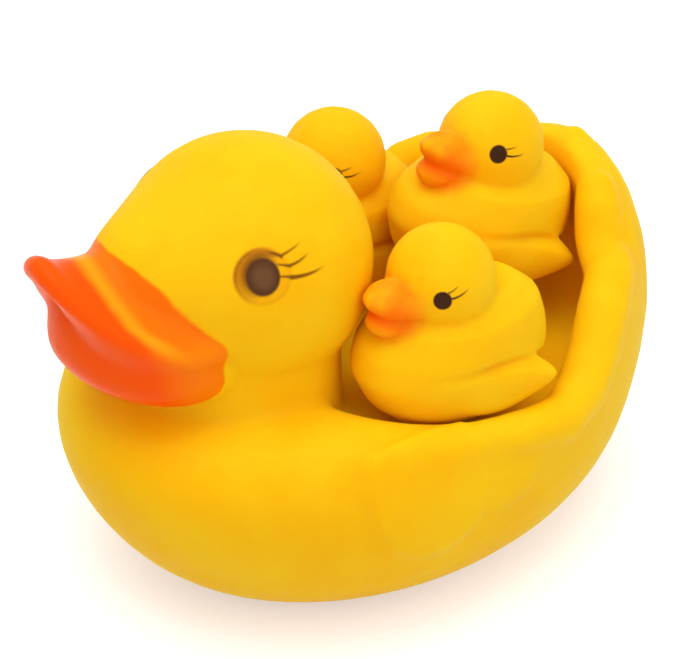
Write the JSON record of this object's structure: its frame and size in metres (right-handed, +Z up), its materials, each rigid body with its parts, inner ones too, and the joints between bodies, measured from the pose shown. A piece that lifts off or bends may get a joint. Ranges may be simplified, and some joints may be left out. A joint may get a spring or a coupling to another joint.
{
  "type": "rubber duck",
  "caption": "Soft vinyl bath duck with an orange bill, carrying smaller ducklings in its hollowed back.",
  "frame": {"origin": "under the middle of the whole length and width, at the height of the flat base", "axes": "+Z up, -Y the way the duck faces, +X its left side"},
  "size_m": [0.0922, 0.1303, 0.0907],
  "materials": {
    "yellow_vinyl": "satin",
    "squeaker": "matte"
  },
  "bodies": {
    "root": {"mother_duck": "yellow_vinyl", "mother_squeaker": "squeaker", "duckling_left": "yellow_vinyl", "duckling_left_squeaker": "squeaker", "duckling_right": "yellow_vinyl", "duckling_right_squeaker": "squeaker", "duckling_rear": "yellow_vinyl", "duckling_rear_squeaker": "squeaker"}
  },
  "joints": []
}
